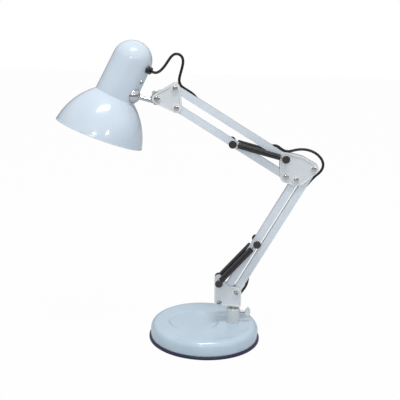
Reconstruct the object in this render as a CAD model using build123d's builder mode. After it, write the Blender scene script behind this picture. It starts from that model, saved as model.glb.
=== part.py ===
"""Swing-arm desk lamp: a weighted round base, two sprung parallelogram arms and a ball-jointed shade.

Millimetres, +Z up. The origin is the centre of the base's underside. The arms swing in the XZ plane
and the shade hangs towards -X. The front of each bracket faces -Y.
"""
import os
from math import asin, cos, pi, radians, sin, sqrt, tan

from build123d import *

os.makedirs("parts", exist_ok=True)

# Base: pressed pan with a shallow dish, iron weight, rubber edge and cover plate.
pan_r = 92.2
pan_top = 28.5
pan_wall = 1.5
shoulder_r = 11.5
dish_x = -19.0
dish_r = 44.0
dish_depth = 2.0
dish_edge = 4.0
edge_r = 95.0
edge_h = 5.0
edge_ledge = 2.5
edge_width = 9.0
weight_gap = 6.0
weight_h = 11.5
plate_t = 1.2
plate_lift = 1.0
plate_gap = 0.5
plate_screw_r = 2.0
plate_screw_circle = 62.0
plate_screw_count = 3

# Post with the swivel socket, its nut and the thumb screw.
post_x = 49.0
post_r = 11.2
post_h = 25.5
spigot_r = 5.0
socket_floor = 4.0
swivel_pin_r = 6.0
post_nut_af = 17.0
post_nut_h = 5.5
post_boss_r = 16.0
thumb_drop = 6.5
thumb_screw_r = 2.4
thumb_reach = 20.5
wing_length = 16.4
wing_depth = 9.0
wing_t = 5.0

# Fits: running clearance of a turning pin, slack of a fixed one, clear air between moving parts.
run_gap = 0.05
slack = 0.1
air = 0.35

# Arms: pressed channel bars on bolts, in two parallelograms.
lower_length = 249.0
lower_lean = 28.6
upper_length = 212.0
upper_lean = -59.2
bar_depth = 12.0
bar_width = 9.0
bar_wall = 1.2
bolt_r = 2.5
bolt_head_r = 4.5
bolt_head_h = 2.6
nut_af = 8.0
nut_h = 4.0

# Bracket halves: a panel with a raised rim and bosses.
side_gap = 0.3
panel_t = 1.8
rim_h = 1.2
rim_w = 2.2
boss_r = 6.6

# Pivots, each measured from the one before it along the lamp, as steps in X and Z.
inner_foot_step = (-25.0, 12.25)
foot_spread = (28.0, 18.7)
elbow_step = (-44.9, -14.3)
head_spread = (-2.65, 31.5)
tilt_step = (-31.6, 13.8)
anchor_step = (-1.9, 37.75)

# Balance springs: black sleeves over coils, hooked on cross pins with round caps.
spring_pin_r = 2.5
lower_hook_at = 123.7
upper_hook_at = 104.8
sleeve_r = 5.0
sleeve_bore_r = 4.1
lower_sleeve = 75.0
upper_sleeve = 71.0
lower_sleeve_start = 5.6
coil_r = 3.4
coil_bore_r = 2.2
lower_coil = 48.0
upper_coil = 36.0
wire_r = 0.8
hook_reach = 21.0
cap_r = 6.5
cap_t = 2.0
cap_hub_r = 3.8
cap_hub = 2.4

# Head bracket's tilt joint and the stem with its ball.
tilt_bolt_r = 3.0
tilt_head_r = 5.2
tilt_head_h = 2.8
knob_r = 12.6
knob_lobe_r = 3.2
knob_lobes = 6
knob_h = 9.0
stem_r = 3.5
stem_drop = 6.3
eye_r = 10.0
ball_step = (-39.5, 3.3)
ball_r = 12.5
spigot_end_r = 2.5
spigot_end = 9.0

# Shade: a spun bell with a leaning neck.
shade_tilt = 5.4
neck_lean = 25.0
bell_lean = 19.5
rim_r = 73.9
bell_h = 74.5
bell_top_r = 24.0
bell_curve_r = 113.0
neck_r = 34.5
neck_top_r = 32.7
neck_length = 95.0
neck_foot = 36.2
shade_wall = 1.0
bead_r = 0.9
swivel_turn = 27.0
swivel_height = 45.5
swivel_inset = 4.25
ball_gap = 0.35
ball_cut = 5.0
vent_ring_r = 8.0
vent_length = 6.0
vent_width = 3.0
vent_count = 4
bushing_turn = 25.0
bushing_drop = 1.5
bushing_r = 6.2
bushing_out = 6.8
bushing_edge = 0.8
bushing_hole_r = 4.4
retainer_wall = 1.0
retainer_flange_r = 17.2
retainer_depth = 6.0
retainer_step = 2.5
retainer_screw_rise = 25.4
retainer_screw_r = 1.6
retainer_head_r = 3.2

# Lamp holder: screw socket for a 27 mm bulb cap on a strap across the neck.
holder_r = 19.5
holder_rise = 8.3
holder_h = 42.0
holder_bore_r = 13.3
holder_bore = 30.0
holder_skirt_r = 21.5
holder_skirt = 7.0
strap_w = 16.0
strap_t = 1.5
strap_ear = 12.0

# Flexible lead, its hank, tie and plug.
cord_r = 2.1
hank_run = 63.0
hank_outer = 17.4
hank_pitch = 4.8
hank_x = 44.0
hank_y = 170.0
tie_w = 9.0
tie_t = 0.6
tie_gap = 0.4
plug_w = 18.0
plug_t = 11.0
plug_body = 22.0
plug_relief = 10.0
plug_relief_r = 3.6
blade_length = 17.0
blade_w = 6.3
blade_t = 1.5
blade_spacing = 12.7


def across(steps):
    """A step in the swing plane as a vector."""
    return Vector(steps[0], 0, steps[1])


def heading(lean):
    """Unit vector in the swing plane, leaning from the vertical towards +X."""
    return Vector(sin(radians(lean)), 0, cos(radians(lean)))


def spot(point):
    """A point's place on a sketch in the swing plane."""
    return (point.X, point.Z)


def save(part, label):
    """Name a finished piece and write its file."""
    part.label = label
    export_step(part, "parts/" + label + ".step")


post_top = pan_top + post_h
post_head = Vector(post_x, 0, post_top)
inner_foot = post_head + across(inner_foot_step)
outer_foot = inner_foot + across(foot_spread)
inner_top = inner_foot + heading(lower_lean) * lower_length
outer_top = outer_foot + heading(lower_lean) * lower_length
low_elbow = outer_top + across(elbow_step)
high_elbow = low_elbow + across(head_spread)
low_head = low_elbow + heading(upper_lean) * upper_length
high_head = high_elbow + heading(upper_lean) * upper_length
tilt_pivot = low_head + across(tilt_step)
anchor = inner_foot + across(anchor_step)
lower_hook = inner_foot + heading(lower_lean) * lower_hook_at
upper_hook = low_elbow + heading(upper_lean) * upper_hook_at
ball = tilt_pivot + across(ball_step)

half_inner = bar_width / 2 + side_gap
half_outer = half_inner + panel_t + rim_h
sleeve_y = half_outer + air + sleeve_r
cap_y = sleeve_y + sleeve_r + air

# Base pan: a revolved dish with a rolled shoulder, and a shallow round hollow in its top.
with BuildPart() as base_pan:
    with BuildSketch(Plane.XZ):
        with BuildLine():
            Polyline((0, edge_ledge), (pan_r, edge_ledge), (pan_r, pan_top - shoulder_r))
            RadiusArc((pan_r, pan_top - shoulder_r), (pan_r - shoulder_r, pan_top), -shoulder_r)
            Polyline((pan_r - shoulder_r, pan_top), (0, pan_top), (0, edge_ledge))
        make_face()
    revolve(axis=Axis.Z)
    with BuildSketch(Plane.XZ):
        inner_r = pan_r - pan_wall
        inner_top_z = pan_top - pan_wall
        bend_r = shoulder_r - pan_wall
        with BuildLine():
            Polyline((0, edge_ledge), (inner_r, edge_ledge), (inner_r, inner_top_z - bend_r))
            RadiusArc((inner_r, inner_top_z - bend_r), (inner_r - bend_r, inner_top_z), -bend_r)
            Polyline((inner_r - bend_r, inner_top_z), (0, inner_top_z), (0, edge_ledge))
        make_face()
    revolve(axis=Axis.Z, mode=Mode.SUBTRACT)
    with BuildSketch(Plane.XY.offset(pan_top - dish_depth - pan_wall)):
        with Locations((dish_x, 0)):
            Circle(dish_r + pan_wall)
    extrude(amount=dish_depth + pan_wall)
    with BuildSketch(Plane.XY.offset(pan_top)):
        with Locations((dish_x, 0)):
            Circle(dish_r)
    with BuildSketch(Plane.XY.offset(pan_top - dish_depth)):
        with Locations((dish_x, 0)):
            Circle(dish_r - dish_edge)
    loft(mode=Mode.SUBTRACT)
    with BuildSketch(Plane.XY.offset(pan_top)):
        with Locations((post_x, 0)):
            Circle(spigot_r + slack)
    extrude(amount=-2 * pan_wall, mode=Mode.SUBTRACT)
save(base_pan.part, "base_pan")

# Rubber edge: a ring with a ledge under the pan's lip.
with BuildPart() as edge_ring:
    lip_r = pan_r + slack
    with BuildSketch(Plane.XZ):
        with BuildLine():
            Polyline((edge_r - edge_width, 0), (edge_r, 0), (edge_r, edge_h * 0.6))
            Line((edge_r, edge_h * 0.6), (lip_r + 1, edge_h))
            Polyline(
                (lip_r + 1, edge_h),
                (lip_r, edge_h),
                (lip_r, edge_ledge),
                (edge_r - edge_width, edge_ledge),
                (edge_r - edge_width, 0),
            )
        make_face()
    revolve(axis=Axis.Z)
save(edge_ring.part, "edge_ring")

# Iron weight: a disc with a boss that carries the pan under the post.
weight_z = plate_lift + plate_t
weight_r = edge_r - edge_width - weight_gap
nut_pocket_top = weight_z + 1.0 + post_nut_h
with BuildPart() as base_weight:
    with BuildSketch(Plane.XY.offset(weight_z)):
        Circle(weight_r)
    extrude(amount=weight_h)
    chamfer(base_weight.edges().group_by(Axis.Z)[-1], 1.5)
    with BuildSketch(Plane.XY.offset(weight_z)):
        with Locations((post_x, 0)):
            Circle(post_boss_r)
    extrude(amount=pan_top - pan_wall - weight_z)
    with BuildSketch(Plane.XY.offset(weight_z)):
        with Locations((post_x, 0)):
            Circle(spigot_r + slack)
    extrude(amount=pan_top - weight_z, mode=Mode.SUBTRACT)
    with BuildSketch(Plane.XY.offset(weight_z)):
        with Locations((post_x, 0)):
            Circle(post_nut_af * 0.62)
    extrude(amount=nut_pocket_top - weight_z, mode=Mode.SUBTRACT)
    with BuildSketch(Plane.XY.offset(weight_z)):
        with PolarLocations(plate_screw_circle, plate_screw_count, start_angle=60):
            Circle(plate_screw_r + slack)
    extrude(amount=weight_h * 0.7, mode=Mode.SUBTRACT)
save(base_weight.part, "base_weight")

# Cover plate under the weight, with three countersunk screws and a hole for the post's nut.
plate_r = edge_r - edge_width - plate_gap
with BuildPart() as bottom_plate:
    with BuildSketch(Plane.XY.offset(plate_lift)):
        Circle(plate_r)
        with Locations((post_x, 0)):
            Circle(post_nut_af * 0.62, mode=Mode.SUBTRACT)
        with PolarLocations(plate_screw_circle, plate_screw_count, start_angle=60):
            Circle(plate_screw_r + slack, mode=Mode.SUBTRACT)
    extrude(amount=plate_t)
save(bottom_plate.part, "bottom_plate")

with BuildPart() as plate_screws:
    with PolarLocations(plate_screw_circle, plate_screw_count, start_angle=60):
        with Locations((0, 0, plate_lift)):
            Cylinder(plate_screw_r, weight_h * 0.6, align=(Align.CENTER, Align.CENTER, Align.MIN))
        with Locations((0, 0, plate_lift)):
            Cylinder(plate_screw_r * 1.8, plate_lift * 0.7, align=(Align.CENTER, Align.CENTER, Align.MAX))
save(plate_screws.part, "plate_screws")

# Post: a turned socket with a threaded spigot through the pan and the weight.
with BuildPart() as post:
    with BuildSketch(Plane.XY.offset(pan_top)):
        with Locations((post_x, 0)):
            Circle(post_r)
    extrude(amount=post_h)
    chamfer(post.edges().group_by(Axis.Z)[-1], 0.8)
    with BuildSketch(Plane.XY.offset(weight_z)):
        with Locations((post_x, 0)):
            Circle(spigot_r)
    extrude(amount=pan_top - weight_z)
    with BuildSketch(Plane.XY.offset(pan_top + socket_floor)):
        with Locations((post_x, 0)):
            Circle(swivel_pin_r + run_gap)
    extrude(amount=post_h, mode=Mode.SUBTRACT)
    with BuildSketch(Plane.YZ.offset(post_x)):
        with Locations((0, post_top - thumb_drop)):
            Circle(thumb_screw_r + run_gap)
    extrude(amount=2 * post_r, mode=Mode.SUBTRACT)
save(post.part, "post")

with BuildPart() as post_nut:
    with BuildSketch(Plane.XY.offset(nut_pocket_top - post_nut_h)):
        with Locations((post_x, 0)):
            RegularPolygon(post_nut_af / 2, 6, major_radius=False)
            Circle(spigot_r + slack, mode=Mode.SUBTRACT)
    extrude(amount=post_nut_h)
save(post_nut.part, "post_nut")

# Thumb screw: a steel screw that bears on the swivel pin, with a moulded wing knob.
thumb_z = post_top - thumb_drop
thumb_tip = post_x + swivel_pin_r + slack
wing_start = post_x + thumb_reach
with BuildPart() as thumb_screw:
    with BuildSketch(Plane.YZ.offset(thumb_tip)):
        with Locations((0, thumb_z)):
            Circle(thumb_screw_r)
    extrude(amount=wing_start + wing_depth * 0.6 - thumb_tip)
save(thumb_screw.part, "thumb_screw")

with BuildPart() as thumb_knob:
    with BuildSketch(Plane.XZ.offset(-wing_t / 2)):
        with BuildLine():
            wing_mid = wing_start + wing_depth / 2
            wing_low = thumb_z - wing_length / 2
            wing_high = thumb_z + wing_length / 2
            Line((wing_start, thumb_z - wing_length * 0.22), (wing_start, thumb_z + wing_length * 0.22))
            ThreePointArc(
                (wing_start, thumb_z + wing_length * 0.22),
                (wing_start + wing_depth * 0.3, thumb_z + wing_length * 0.36),
                (wing_mid, wing_high),
            )
            ThreePointArc(
                (wing_mid, wing_high),
                (wing_start + wing_depth, thumb_z),
                (wing_mid, wing_low),
            )
            ThreePointArc(
                (wing_mid, wing_low),
                (wing_start + wing_depth * 0.3, thumb_z - wing_length * 0.36),
                (wing_start, thumb_z - wing_length * 0.22),
            )
        make_face()
    extrude(amount=wing_t)
    with BuildSketch(Plane.YZ.offset(wing_start)):
        with Locations((0, thumb_z)):
            Circle(thumb_screw_r + slack)
    extrude(amount=wing_depth * 0.62, mode=Mode.SUBTRACT)
save(thumb_knob.part, "thumb_knob")


def hull_of(*discs):
    """Join round corners, each a centre and a radius, into one taut outline."""
    rounds = [Pos(*centre) * Circle(radius, mode=Mode.PRIVATE) for centre, radius in discs]
    make_hull([edge for disc in rounds for edge in disc.edges()])


def turret_outline():
    """Foot bracket: a block over the post, with an ear for the spring anchor."""
    left_foot = (post_x - 30.2, post_top + 11.4)
    right_foot = (post_x + 9.4, post_top + 7.9)
    waist = (post_x - 15.0, post_top + 39.0)
    hull_of((left_foot, 3.0), (right_foot, 3.0), (spot(outer_foot), 9.2), (waist, 4.0))
    hull_of((left_foot, 3.0), (spot(anchor), 7.2), (waist, 4.0))


def elbow_outline():
    """Elbow bracket: four pivots under a rounded crown."""
    crown = (spot(high_elbow)[0] + 19.5, spot(high_elbow)[1] - 20.5)
    hull_of(
        (spot(high_elbow), 9.2),
        (spot(low_elbow), 9.6),
        (spot(inner_top), 9.4),
        (spot(outer_top), 8.4),
        (crown, 25.0),
    )


def head_outline():
    """Head bracket: a triangle with rounded corners."""
    hull_of((spot(tilt_pivot), 8.2), (spot(high_head), 8.2), (spot(low_head), 8.2))


def bracket_half(outline, bolt_points, pin_points):
    """Front half of a bracket: panel, raised rim, bosses round its bolts, and holes."""
    with BuildPart() as half:
        with BuildSketch(Plane.XZ.offset(half_inner)):
            outline()
        extrude(amount=panel_t)
        with BuildSketch(Plane.XZ.offset(half_inner + panel_t)):
            outline()
            offset(amount=-rim_w, mode=Mode.SUBTRACT)
            with Locations(*[spot(point) for point in bolt_points + pin_points]):
                Circle(boss_r)
        extrude(amount=rim_h)
        with BuildSketch(Plane.XZ.offset(half_inner)):
            with Locations(*[spot(point) for point in bolt_points]):
                Circle(bolt_r + slack)
            if pin_points:
                with Locations(*[spot(point) for point in pin_points]):
                    Circle(spring_pin_r + slack)
        extrude(amount=panel_t + rim_h, mode=Mode.SUBTRACT)
    return half.part


def bracket_pair(name, outline, bolt_points, pin_points):
    """Both halves of a bracket, the back one mirrored."""
    front = bracket_half(outline, bolt_points, pin_points)
    save(front, name + "_front")
    save(mirror(front, about=Plane.XZ), name + "_back")


def pivot_bolts(name, points):
    """Pan-head bolts through a bracket from the front, and hex nuts on the back."""
    head_start = half_outer
    with BuildPart() as bolts:
        for point in points:
            with BuildSketch(Plane.XZ.offset(head_start)):
                with Locations(spot(point)):
                    Circle(bolt_head_r)
            extrude(amount=bolt_head_h, taper=8)
            with BuildSketch(Plane.XZ.offset(head_start)):
                with Locations(spot(point)):
                    Circle(bolt_r)
            extrude(amount=-(2 * half_outer + nut_h))
    save(bolts.part, name + "_bolts")
    with BuildPart() as nuts:
        with BuildSketch(Plane.XZ.offset(-half_outer)):
            for point in points:
                with Locations(spot(point)):
                    RegularPolygon(nut_af / 2, 6, major_radius=False)
                    Circle(bolt_r + slack, mode=Mode.SUBTRACT)
        extrude(amount=-nut_h)
    save(nuts.part, name + "_nuts")


def cross_pin(name, point):
    """Steel pin across the lamp that the spring hooks pull on."""
    with BuildPart() as pin:
        with BuildSketch(Plane.XZ.offset(-cap_y)):
            with Locations(spot(point)):
                Circle(spring_pin_r)
        extrude(amount=2 * cap_y)
    save(pin.part, name)


def pin_caps(name, point):
    """Round black caps pressed on both ends of a cross pin."""
    with BuildPart() as caps:
        with BuildSketch(Plane.XZ.offset(cap_y - cap_hub)):
            with Locations(spot(point)):
                Circle(cap_hub_r)
        extrude(amount=cap_hub)
        with BuildSketch(Plane.XZ.offset(cap_y)):
            with Locations(spot(point)):
                Circle(cap_r)
        extrude(amount=cap_t)
        fillet(caps.edges().group_by(Axis.Y)[0], cap_t * 0.45)
        with BuildSketch(Plane.XZ.offset(cap_y - cap_hub)):
            with Locations(spot(point)):
                Circle(spring_pin_r + slack)
        extrude(amount=cap_hub, mode=Mode.SUBTRACT)
        mirror(about=Plane.XZ)
    save(caps.part, name)


def channel_bar(name, start, lean, length, open_side, pin_at=None):
    """Pressed channel with round ends, open along one edge, turning on a bolt at each end."""
    along = Plane(origin=start, x_dir=heading(lean), z_dir=(0, -1, 0))
    throat = bar_width - 2 * bar_wall
    holes = [(0, 0, bolt_r + run_gap), (length, 0, bolt_r + run_gap)]
    if pin_at:
        holes.append((pin_at, 0, spring_pin_r + slack))
    with BuildPart() as bar:
        with BuildSketch(along.offset(-bar_width / 2)):
            with Locations((length / 2, 0)):
                SlotCenterToCenter(length, bar_depth)
        extrude(amount=bar_width)
        with BuildSketch(along.offset(-throat / 2)):
            with Locations((length / 2, open_side * bar_wall)):
                Rectangle(length + 2 * bar_depth, bar_depth)
        extrude(amount=throat, mode=Mode.SUBTRACT)
        with BuildSketch(along.offset(-bar_width / 2)):
            for x, y, radius in holes:
                with Locations((x, y)):
                    Circle(radius)
        extrude(amount=bar_width, mode=Mode.SUBTRACT)
    save(bar.part, name)


def ring_on_pin(point, side):
    """Eye of a spring hook round a cross pin."""
    eye_r_mid = spring_pin_r + air + wire_r
    with Locations(Location((point.X, side * sleeve_y, point.Z), (90, 0, 0))):
        Torus(eye_r_mid, wire_r)


def hook_line(point, aim, side):
    """Plane at a pin, square to the line that the spring pulls along."""
    return Plane(origin=(point.X, side * sleeve_y, point.Z), z_dir=aim)


def sleeve_pair(name, point, aim, start, length):
    """Black tubes over the two springs, one each side of the arm."""
    with BuildPart() as sleeves:
        for side in (-1, 1):
            with BuildSketch(hook_line(point, aim, side).offset(start)):
                Circle(sleeve_r)
                Circle(sleeve_bore_r, mode=Mode.SUBTRACT)
            extrude(amount=length)
    save(sleeves.part, name)


def hook_pair(name, point, aim):
    """Wire hooks: an eye on the pin and a straight shank into the sleeve."""
    shank_from = spring_pin_r + air + wire_r
    with BuildPart() as hooks:
        for side in (-1, 1):
            ring_on_pin(point, side)
            with BuildSketch(hook_line(point, aim, side).offset(shank_from)):
                Circle(wire_r)
            extrude(amount=hook_reach - shank_from)
    save(hooks.part, name)


def coil_pair(name, point, aim, start, length, with_hook):
    """Close-wound coils inside the sleeves, as tubes of the coil's size with a closed end."""
    shank_from = spring_pin_r + air + wire_r
    with BuildPart() as coils:
        for side in (-1, 1):
            with BuildSketch(hook_line(point, aim, side).offset(start)):
                Circle(coil_r)
                Circle(coil_bore_r, mode=Mode.SUBTRACT)
            extrude(amount=length)
            with BuildSketch(hook_line(point, aim, side).offset(start)):
                Circle(coil_r)
            extrude(amount=2 * wire_r)
            if with_hook:
                ring_on_pin(point, side)
                with BuildSketch(hook_line(point, aim, side).offset(shank_from)):
                    Circle(wire_r)
                extrude(amount=start + wire_r - shank_from)
    save(coils.part, name)


# Foot bracket on its swivel pin, with the lower springs' anchor.
bracket_pair("turret", turret_outline, [inner_foot, outer_foot], [anchor])
pivot_bolts("turret", [inner_foot, outer_foot])
with BuildPart() as anchor_studs:
    with BuildSketch(Plane.XZ.offset(half_inner)):
        with Locations(spot(anchor)):
            Circle(spring_pin_r)
    extrude(amount=cap_y - half_inner)
    mirror(about=Plane.XZ)
save(anchor_studs.part, "anchor_studs")
pin_caps("anchor_caps", anchor)

block_low = post_top + 4.6
block_high = spot(outer_foot)[1] - bar_depth / 2 - 1.0
with BuildPart() as turret_pin:
    with BuildSketch(Plane.XY.offset(pan_top + socket_floor + slack)):
        with Locations((post_x, 0)):
            Circle(swivel_pin_r)
    extrude(amount=block_low - pan_top - socket_floor - slack)
    with BuildSketch(Plane.XY.offset(block_low)):
        with Locations((post_x, 0)):
            Rectangle(2 * swivel_pin_r + 3, 2 * half_inner)
    extrude(amount=block_high - block_low)
save(turret_pin.part, "turret_pin")

# Lower arm: the outer bar carries the lead in its open side.
channel_bar("lower_bar_outer", outer_foot, lower_lean, lower_length, -1)
channel_bar("lower_bar_inner", inner_foot, lower_lean, lower_length, 1, lower_hook_at)
cross_pin("lower_spring_pin", lower_hook)
pin_caps("lower_spring_caps", lower_hook)
lower_pull = (lower_hook - anchor).normalized()
lower_span = (lower_hook - anchor).length
sleeve_pair("lower_sleeves", anchor, lower_pull, lower_sleeve_start, lower_sleeve)
coil_pair("lower_springs", anchor, lower_pull, lower_sleeve_start + 2.0, lower_coil, True)
hook_pair("lower_spring_hooks", lower_hook, lower_pull * -1)

# Elbow bracket: its pin is the upper bar's pivot and the upper springs' anchor.
bracket_pair("elbow", elbow_outline, [low_elbow, inner_top, outer_top], [high_elbow])
pivot_bolts("elbow", [low_elbow, inner_top, outer_top])
cross_pin("elbow_pin", high_elbow)
pin_caps("elbow_caps", high_elbow)

# Upper arm: the top bar carries the lead in its open side.
channel_bar("upper_bar_top", high_elbow, upper_lean, upper_length, -1)
channel_bar("upper_bar_bottom", low_elbow, upper_lean, upper_length, 1, upper_hook_at)
cross_pin("upper_spring_pin", upper_hook)
pin_caps("upper_spring_caps", upper_hook)
upper_pull = (upper_hook - high_elbow).normalized()
upper_span = (upper_hook - high_elbow).length
upper_sleeve_start = (upper_span - upper_sleeve) / 2
sleeve_pair("upper_sleeves", high_elbow, upper_pull, upper_sleeve_start, upper_sleeve)
coil_pair("upper_springs", high_elbow, upper_pull, (upper_span - upper_coil) / 2, upper_coil, False)
hook_pair("upper_near_hooks", high_elbow, upper_pull)
hook_pair("upper_far_hooks", upper_hook, upper_pull * -1)

# Head bracket with the tilt bolt through its third corner.
with BuildPart() as head_half:
    with BuildSketch(Plane.XZ.offset(half_inner)):
        head_outline()
    extrude(amount=panel_t)
    with BuildSketch(Plane.XZ.offset(half_inner + panel_t)):
        head_outline()
        offset(amount=-rim_w, mode=Mode.SUBTRACT)
        with Locations(spot(high_head), spot(low_head), spot(tilt_pivot)):
            Circle(boss_r)
    extrude(amount=rim_h)
    with BuildSketch(Plane.XZ.offset(half_inner)):
        with Locations(spot(high_head), spot(low_head)):
            Circle(bolt_r + slack)
        with Locations(spot(tilt_pivot)):
            Circle(tilt_bolt_r + slack)
    extrude(amount=panel_t + rim_h, mode=Mode.SUBTRACT)
save(head_half.part, "head_front")
save(mirror(head_half.part, about=Plane.XZ), "head_back")
pivot_bolts("head", [high_head, low_head])

knob_start = half_outer + slack
with BuildPart() as tilt_bolt:
    with BuildSketch(Plane.XZ.offset(half_outer)):
        with Locations(spot(tilt_pivot)):
            Circle(tilt_head_r)
    extrude(amount=tilt_head_h, taper=6)
    with BuildSketch(Plane.XZ.offset(half_outer)):
        with Locations(spot(tilt_pivot)):
            Circle(tilt_bolt_r)
    extrude(amount=-(2 * half_outer + knob_h * 0.8))
save(tilt_bolt.part, "tilt_bolt")

with BuildPart() as tilt_knob:
    with BuildSketch(Plane.XZ.offset(-knob_start)):
        with Locations(spot(tilt_pivot)):
            Circle(knob_r - knob_lobe_r * 0.9)
            with PolarLocations(knob_r - knob_lobe_r, knob_lobes, start_angle=10):
                Circle(knob_lobe_r)
    extrude(amount=-knob_h)
    chamfer(tilt_knob.edges().group_by(Axis.Y)[-1], 0.8)
    with BuildSketch(Plane.XZ.offset(-knob_start)):
        with Locations(spot(tilt_pivot)):
            Circle(tilt_bolt_r + run_gap)
    extrude(amount=-knob_h * 0.85, mode=Mode.SUBTRACT)
save(tilt_knob.part, "tilt_knob")

# Stem: a chromed rod with a flat eye between the bracket halves and a spigot into the ball.
rod_foot = tilt_pivot + Vector(0, 0, -stem_drop)
rod_aim = (rod_foot - ball).normalized()
ball_flat = sqrt(ball_r**2 - (stem_r + 0.5) ** 2)
with BuildPart() as stem:
    with BuildSketch(Plane.XZ.offset(-bar_width / 2)):
        with Locations(spot(tilt_pivot)):
            Circle(eye_r)
    extrude(amount=bar_width)
    with BuildSketch(Plane(origin=ball + rod_aim * ball_flat, z_dir=rod_aim)):
        Circle(stem_r)
    extrude(amount=(rod_foot - ball).length - ball_flat)
    with BuildSketch(Plane(origin=ball + rod_aim * ball_flat, z_dir=rod_aim)):
        Circle(spigot_end_r)
    extrude(amount=-spigot_end)
    with BuildSketch(Plane.XZ.offset(-bar_width)):
        with Locations(spot(tilt_pivot)):
            Circle(tilt_bolt_r + run_gap)
    extrude(amount=2 * bar_width, mode=Mode.SUBTRACT)
save(stem.part, "stem")


def tipped(direction):
    """A direction of the shade, whose dome is tipped away from the front."""
    return direction.rotate(Axis.X, -shade_tilt)


# Shade frame: the neck's axis and the bell's, both turned on the ball.
neck_axis = tipped(heading(neck_lean))
neck_side = tipped(heading(neck_lean + 90))
bell_axis = tipped(heading(bell_lean))
bell_side = tipped(heading(bell_lean + 90))
front = tipped(Vector(0, -1, 0))
swivel_out = neck_side * cos(radians(swivel_turn)) + front * sin(radians(swivel_turn))
swivel_from_axis = neck_r + (neck_top_r - neck_r) * swivel_height / neck_length - swivel_inset
neck_base = ball - swivel_out * swivel_from_axis - neck_axis * swivel_height
rim_centre = neck_base - bell_axis * neck_foot
bell_plane = Plane(origin=rim_centre, x_dir=bell_side, z_dir=front)
neck_plane = Plane(origin=neck_base, x_dir=neck_side, z_dir=front)


# Swivel ball: cut flat inside the neck to leave room for the bulb, with a bore for the stem's spigot.
with BuildPart() as swivel_ball:
    with Locations(ball):
        Sphere(ball_r)
    with BuildSketch(Plane(origin=ball + rod_aim * (ball_flat - slack), z_dir=rod_aim)):
        Circle(ball_r)
    extrude(amount=ball_r, mode=Mode.SUBTRACT)
    with BuildSketch(Plane(origin=ball + rod_aim * ball_flat, z_dir=rod_aim)):
        Circle(spigot_end_r + run_gap)
    extrude(amount=-(spigot_end + slack), mode=Mode.SUBTRACT)
    with BuildSketch(Plane(origin=ball - swivel_out * ball_cut, z_dir=swivel_out)):
        Circle(2 * ball_r)
    extrude(amount=-ball_r, mode=Mode.SUBTRACT)
save(swivel_ball.part, "swivel_ball")


def neck_radius(height):
    """Outer radius of the tapering neck at a height above its foot."""
    return neck_r + (neck_top_r - neck_r) * height / neck_length


def neck_point(height, turn):
    """Point on the neck's outside at a height, turned to the front, and the way out from there."""
    outward = neck_side * cos(radians(turn)) + front * sin(radians(turn))
    return neck_base + neck_axis * height + outward * (neck_radius(height) + slack), outward


with BuildPart() as shade:
    with BuildSketch(bell_plane):
        with BuildLine():
            Polyline((0, bell_h), (0, 0), (rim_r, 0))
            RadiusArc((rim_r, 0), (bell_top_r, bell_h), -bell_curve_r)
            Line((bell_top_r, bell_h), (0, bell_h))
        make_face()
    revolve(axis=Axis(rim_centre, bell_axis))
    with BuildSketch(neck_plane):
        with BuildLine():
            Polyline((0, neck_length + neck_top_r), (0, 0), (neck_r, 0), (neck_top_r, neck_length))
            RadiusArc((neck_top_r, neck_length), (0, neck_length + neck_top_r), -neck_top_r)
        make_face()
    revolve(axis=Axis(neck_base, neck_axis))
    with BuildSketch(bell_plane):
        inside_r = rim_r - shade_wall
        inside_h = bell_h - shade_wall
        with BuildLine():
            Polyline((0, inside_h), (0, -1), (inside_r, -1), (inside_r, 0))
            RadiusArc((inside_r, 0), (bell_top_r - shade_wall, inside_h), -(bell_curve_r - shade_wall))
            Line((bell_top_r - shade_wall, inside_h), (0, inside_h))
        make_face()
    revolve(axis=Axis(rim_centre, bell_axis), mode=Mode.SUBTRACT)
    with BuildSketch(neck_plane):
        foot_bore_r = neck_r - shade_wall
        dome_bore_r = neck_top_r - shade_wall
        with BuildLine():
            Polyline((0, neck_length + dome_bore_r), (0, 0), (foot_bore_r, 0), (dome_bore_r, neck_length))
            RadiusArc((dome_bore_r, neck_length), (0, neck_length + dome_bore_r), -dome_bore_r)
        make_face()
    revolve(axis=Axis(neck_base, neck_axis), mode=Mode.SUBTRACT)
    with BuildSketch(bell_plane):
        with Locations((rim_r - shade_wall / 2, bead_r * 0.6)):
            Circle(bead_r)
    revolve(axis=Axis(rim_centre, bell_axis))
    with Locations(ball):
        Sphere(ball_r + ball_gap, mode=Mode.SUBTRACT)
    with BuildSketch(Plane(origin=neck_base, x_dir=neck_side, z_dir=neck_axis).offset(neck_length)):
        with PolarLocations(vent_ring_r, vent_count, start_angle=45):
            SlotOverall(vent_length, vent_width, rotation=90)
    extrude(amount=2 * neck_r, mode=Mode.SUBTRACT)
    bushing_at, bushing_aim = neck_point(neck_length - bushing_drop, bushing_turn)
    with BuildSketch(Plane(origin=bushing_at, z_dir=bushing_aim).offset(-3 * shade_wall)):
        Circle(bushing_hole_r + slack)
    extrude(amount=6 * shade_wall, mode=Mode.SUBTRACT)
    screw_at, screw_aim = neck_point(swivel_height + retainer_screw_rise, swivel_turn)
    with BuildSketch(Plane(origin=screw_at, z_dir=screw_aim).offset(-3 * shade_wall)):
        Circle(retainer_screw_r + slack)
    extrude(amount=6 * shade_wall, mode=Mode.SUBTRACT)
save(shade.part, "shade")

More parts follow.
